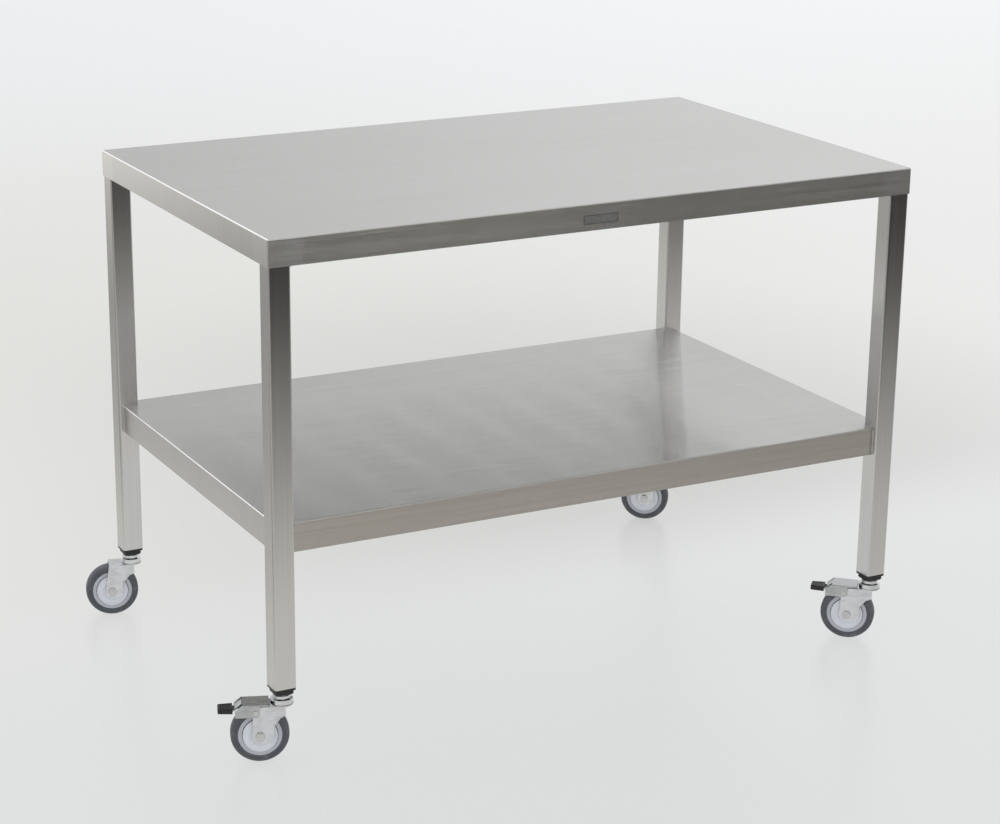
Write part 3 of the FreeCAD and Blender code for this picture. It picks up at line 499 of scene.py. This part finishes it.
MM = 0.001
SHARP_ANGLE = math.radians(38)
BEVEL_ANGLE = math.radians(35)
TURN_STEPS = 120
HEX_FLAT = 7.01
THREAD_START = 24.0
THREAD_PITCH = 0.45
THREAD_TURNS = 6
WELD_RADIUS = 2.5
WELD_END = 2.0
WELD_STEP = 0.3
WELD_LEAST_STEPS = 12
WELD_ARC = 8
WELD_SEED = 7
TAPER_START = 0.55
TAPER_LENGTH = 3.0
SWELL_DEPTH = 0.05
SWELL_LENGTH = 5.3
RIPPLE_LENGTH = 2.6
RIPPLE_MEAN = 0.90
RIPPLE_DEPTH = 0.07
RIPPLE_BOW = 0.9
LIP_WIDTH = 11.0
LIP_INSET = 2

# bevel widths in metres
FORK_EASE = 0.0004
LEVER_EASE = 0.0003
MOULDED_EASE = 0.0005


def new_piece(name, verts, faces, place, body, material, slot, replaced=()):
    """A smooth piece from millimetre points, set down in the row frame and carried by its body."""
    mesh = bpy.data.meshes.new(name)
    mesh.from_pydata([place @ (Vector(v) * MM) for v in verts], [], faces)
    mesh.polygons.foreach_set("use_smooth", [True] * len(mesh.polygons))
    mesh.set_sharp_from_angle(angle=SHARP_ANGLE)
    mesh.materials.append(material)
    obj = bpy.data.objects.new(name, mesh)
    bpy.context.scene.collection.objects.link(obj)
    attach(obj, body)
    if replaced:
        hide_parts(*replaced)


def rounded(points, reach):
    """A closed outline with each corner eased over the given reach."""
    eased = []
    count = len(points)
    for i, point in enumerate(points):
        corner = Vector(point)
        ends = []
        for other in (points[i - 1], points[(i + 1) % count]):
            run = Vector(other) - corner
            ends.append(corner + run * min(reach / run.length, 0.4))
        for share in (0.0, 0.33, 0.67, 1.0):
            first = ends[0].lerp(corner, share)
            eased.append(tuple(first.lerp(corner.lerp(ends[1], share), share)))
    return eased


def hex_radius(radius, angle):
    """The radius of a hexagon's flats at an angle, or the given one if that is less."""
    sector = math.pi / 3
    turn = (angle + sector / 2) % sector - sector / 2
    return min(radius, HEX_FLAT / math.cos(turn))


def turned(outline, closed=True, hexed=()):
    """Points and faces of an (along, radius) outline turned about Y; open ones are capped."""
    verts = []
    for i, (along, radius) in enumerate(outline):
        for k in range(TURN_STEPS):
            angle = 2 * math.pi * k / TURN_STEPS
            reach = hex_radius(radius, angle) if i in hexed else radius
            verts.append((reach * math.sin(angle), along, reach * math.cos(angle)))
    rings = len(outline)
    faces = []
    for i in range(rings if closed else rings - 1):
        j = (i + 1) % rings
        for k in range(TURN_STEPS):
            m = (k + 1) % TURN_STEPS
            a, b = i * TURN_STEPS, j * TURN_STEPS
            faces.append((a + k, a + m, b + m, b + k))
    if not closed:
        faces.append(tuple(reversed(range(TURN_STEPS))))
        faces.append(tuple(range((rings - 1) * TURN_STEPS, rings * TURN_STEPS)))
    return verts, faces


def gather(parts):
    """Several (points, faces) pairs as one."""
    verts, faces = [], []
    for part_verts, part_faces in parts:
        start = len(verts)
        verts += part_verts
        faces += [tuple(start + v for v in face) for face in part_faces]
    return verts, faces


def caster_place(corner):
    """The wheel's centre, with +X along the trail and +Y along the axle."""
    low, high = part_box(f"tyre_{corner}")
    leg_low, leg_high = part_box(f"leg_{corner}")
    centre = (low + high) / 2
    trail = centre - (leg_low + leg_high) / 2
    trail.z = 0.0
    trail.normalize()
    side = Vector((0, 0, 1)).cross(trail)
    place = Matrix((trail, side, Vector((0, 0, 1)))).transposed().to_4x4()
    place.translation = centre
    return place


def other_side(outline):
    """An outline's mirror image, run backwards so that its faces point outwards too."""
    return [(-along, radius) for along, radius in reversed(outline)]


def build_tyre(corner, material):
    """A tyre with a moulded ring on each sidewall and a fine parting line round the tread."""
    half = [
        (11.5, 36.5), (12.3, 38.2), (12.7, 39.4), (12.7, 40.4), (12.25, 40.8), (12.25, 41.5),
        (12.7, 41.9), (12.7, 43.9), (12.2, 45.6), (11.2, 46.9), (9.8, 47.9), (8.4, 48.5),
        (6.6, 48.9), (4.0, 49.0), (0.5, 49.0), (0.2, 48.8),
    ]
    verts, faces = turned(half + other_side(half))
    new_piece(
        f"tyre_rubber_{corner}", verts, faces, caster_place(corner), f"wheel_{corner}",
        material, "grey_tyre", [f"tyre_{corner}"],
    )


def build_guards(corner, material):
    """Dished thread guards with a raised centre, an embossed ring and a lipped rim."""
    disc = [
        (13.0, 6.6), (15.2, 6.6), (15.2, 11.6), (14.75, 12.4), (14.5, 17.4), (14.95, 18.0),
        (14.85, 19.6), (14.3, 20.2), (13.75, 26.6), (14.1, 27.3), (13.9, 29.0), (11.6, 29.0),
        (10.9, 28.4), (12.9, 14.9),
    ]
    near = rounded(disc, 0.35)
    verts, faces = gather([turned(near), turned(other_side(near))])
    new_piece(
        f"guard_discs_{corner}", verts, faces, caster_place(corner), f"wheel_{corner}",
        material, "thread_guard", [f"thread_guards_{corner}"],
    )


def build_axle(corner, material):
    """A chamfered hexagon bolt, a locking nut on its threaded end and the two spacers."""
    thread = []
    for i in range(THREAD_TURNS):
        crest = -THREAD_START - THREAD_PITCH * i
        thread += [(crest, 4.95), (crest - 0.22, 4.6)]
    bolt = [
        (23.7, 4.4), (23.9, 4.9), (23.9, 6.6), (23.5, 7.3), (23.1, 8.1), (18.9, 8.1),
        (18.85, 7.5), (18.4, 7.5), (18.4, 4.95), (-23.8, 4.95), *thread, (-26.9, 4.2),
    ]
    nut = [
        (-24.9, 5.0), (-24.8, 6.0), (-24.3, 6.5), (-23.2, 6.7), (-23.1, 7.4), (-22.6, 8.1),
        (-18.8, 8.1), (-18.4, 7.2), (-18.4, 5.0),
    ]
    spacer = rounded([(13.2, 5.0), (13.2, 6.2), (15.9, 6.2), (15.9, 5.0)], 0.25)
    parts = [
        turned(bolt, closed=False, hexed=(2, 3, 4, 5)),
        turned(nut, hexed=(4, 5, 6, 7)),
        turned(spacer),
        turned(other_side(spacer)),
    ]
    verts, faces = gather(parts)
    new_piece(
        f"axle_hardware_{corner}", verts, faces, caster_place(corner), f"fork_{corner}",
        material, "fastener_steel", [f"axle_set_{corner}"],
    )


def weld_bead(start, run, out_a, out_b, chance):
    """A quarter-round bead from start along run, rippled as the weld pool froze."""
    length = run.length
    along = run / length
    steps = max(WELD_LEAST_STEPS, int(length / WELD_STEP))
    verts, faces = [], []
    for i in range(steps + 1):
        rise = length * i / steps
        swell = 1.0 + SWELL_DEPTH * math.sin(rise / SWELL_LENGTH + chance)
        taper = min(1.0, TAPER_START + min(rise, length - rise) / TAPER_LENGTH)
        verts.append(start + along * rise)
        for k in range(WELD_ARC + 1):
            angle = math.pi / 2 * k / WELD_ARC
            bulge = math.sin(2 * angle)
            wave = math.sin(2 * math.pi * (rise + RIPPLE_BOW * bulge) / RIPPLE_LENGTH + chance)
            reach = WELD_RADIUS * taper * swell * (RIPPLE_MEAN + RIPPLE_DEPTH * wave * bulge)
            offset = (out_a * math.cos(angle) + out_b * math.sin(angle)) * reach
            verts.append(start + along * rise + offset)
    row = WELD_ARC + 2
    for i in range(steps):
        for k in range(row):
            m = (k + 1) % row
            a, b = i * row, (i + 1) * row
            faces.append((a + k, a + m, b + m, b + k))
    faces.append(tuple(reversed(range(row))))
    faces.append(tuple(range(steps * row, (steps + 1) * row)))
    if out_a.cross(out_b).dot(along) < 0:
        faces = [face[::-1] for face in faces]
    return [tuple(v) for v in verts], faces


def build_welds(material):
    """Beads where the shelf's sides and the top's lips meet the four legs."""
    chance = random.Random(WELD_SEED)
    shelf_low, shelf_high = (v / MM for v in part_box("shelf_panel"))
    top_low, top_high = (v / MM for v in TOP)
    shelf_beads, lip_beads = [], []
    for corner in CORNERS:
        leg_low, leg_high = (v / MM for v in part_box(f"leg_{corner}"))
        right, back = "right" in corner, "back" in corner
        side = Vector((1 if right else -1, 0, 0))
        end = Vector((0, 1 if back else -1, 0))
        inner_x = leg_low.x if right else leg_high.x
        inner_y = leg_low.y if back else leg_high.y
        shelf_x = shelf_high.x if right else shelf_low.x
        shelf_y = shelf_high.y if back else shelf_low.y
        low = shelf_low.z + WELD_END
        rise = Vector((0, 0, shelf_high.z - shelf_low.z - 2 * WELD_END))
        for x, y, out_a, out_b in (
            (inner_x, shelf_y, -side, end),
            (shelf_x, inner_y, side, -end),
        ):
            start = Vector((x, y, low))
            shelf_beads.append(weld_bead(start, rise, out_a, out_b, chance.random()))
        skirt_x = (top_high.x if right else top_low.x) - LIP_INSET * side.x
        skirt_y = (top_high.y if back else top_low.y) - LIP_INSET * end.y
        down = Vector((0, 0, -1))
        for start, run, out_a in (
            (Vector((inner_x, skirt_y, top_low.z)), -end * LIP_WIDTH, -side),
            (Vector((skirt_x, inner_y, top_low.z)), -side * LIP_WIDTH, -end),
        ):
            lip_beads.append(weld_bead(start, run, out_a, down, chance.random()))
    rest = Matrix.Identity(4)
    new_piece(
        "weld_beads", *gather(shelf_beads), rest, "table", material, "weld", ["shelf_welds"],
    )
    new_piece("lip_beads", *gather(lip_beads), rest, "table", material, "weld")


def ease_edges(node, width):
    """Breaks a CAD node's sharp edges, by a width in metres, so that they catch the light."""
    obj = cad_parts[node]
    weld = obj.modifiers.new("weld", "WELD")
    weld.merge_threshold = 0.00001
    bevel = obj.modifiers.new("bevel", "BEVEL")
    bevel.width = width
    bevel.segments = 2
    bevel.limit_method = "ANGLE"
    bevel.angle_limit = BEVEL_ANGLE
    bevel.harden_normals = True


# ---------------------------------------------------------------- finishes


def finish_table():
    """The sheets, legs, channels, welds, plate and plugs."""
    sheet = brushed_steel(
        "sheet_steel", "X", folded=True, ground=True, upright_painted_tint=SKIRT_PAINTED_TINT,
    )
    # the shelf is painted darker all over, painted shade under the top, and its flanges get a
    # painted shade tint
    shelf = brushed_steel(
        "shelf_steel", "X", spread=2.6, tone=0.90, fine_across=SHELF_ACROSS, folded=True,
        upright_painted_tint=SHELF_PAINTED_SHADE_TINT,
    )
    tube = brushed_steel("tube_steel", "Z", roughness=0.23, spread=0.25)
    hidden = brushed_steel("channel_steel", "X", roughness=0.28)
    give("top_panel", sheet)
    give("shelf_panel", shelf)
    give_all("leg", tube)
    for node in ("top_channel_front", "top_channel_back", "shelf_channel"):
        give(node, hidden)
    build_welds(plated_steel("weld_metal", (0.50, 0.49, 0.47, 1), 0.34, 0.14))
    give("nameplate", nameplate_material())
    give_all("leg_plug", moulded("plug_plastic", (0.012, 0.012, 0.013, 1), 0.42))


def finish_casters():
    """The casters' finishes, and the caster pieces built here."""
    plated = plated_steel("bright_plating", (0.72, 0.725, 0.735, 1), 0.17)
    for stem in ("caster_stem", "swivel_cap", "caster_fork"):
        give_all(stem, plated)
    hardware = plated_steel("bolt_plating", (0.62, 0.62, 0.61, 1), 0.22, 0.08)
    give_all("brake_pins", hardware, BRAKED)
    give_all("swivel_balls", plated_steel("ball_steel", (0.55, 0.55, 0.56, 1), 0.10))
    give_all("wheel_bearings", plated_steel("bearing_steel", (0.45, 0.45, 0.46, 1), 0.18))
    lever = plated_steel("lever_plating", (0.52, 0.525, 0.53, 1), 0.24, 0.08)
    give_all("brake_lever", lever, BRAKED)
    pedal = moulded("pedal_plastic", (0.010, 0.010, 0.011, 1), 0.40)
    give_all("brake_pedal", pedal, BRAKED)
    give_all("brake_shoe", pedal, BRAKED)
    tyre = moulded("tyre_rubber", (0.085, 0.092, 0.104, 1), 0.56, 0.00008, (0.20, 0.21, 0.22, 1))
    give_all("wheel_core", moulded("core_plastic", (0.50, 0.52, 0.56, 1), 0.38))
    guard = moulded("guard_plastic", (0.74, 0.77, 0.83, 1), 0.26)
    for corner in CORNERS:
        build_tyre(corner, tyre)
        build_guards(corner, guard)
        build_axle(corner, hardware)
        ease_edges(f"caster_fork_{corner}", FORK_EASE)
        ease_edges(f"leg_plug_{corner}", MOULDED_EASE)
    for corner in BRAKED:
        ease_edges(f"brake_lever_{corner}", LEVER_EASE)
        ease_edges(f"brake_pedal_{corner}", MOULDED_EASE)


finish_table()
finish_casters()
stage_floor()
reflected_card("front_shade", (-14.0, -14.0), (14.0, -0.6), front_shade)
reflected_card("left_shade", (-14.0, -1.0), (-0.75, 14.0), left_shade)
world_light()
soft_light("ceiling_light", (-1.2, 0.4, 3.6), (0, 0, 0.5), (3.0, 2.2), 28.0)
make_camera()

scene = bpy.context.scene
scene.view_settings.view_transform = "Standard"
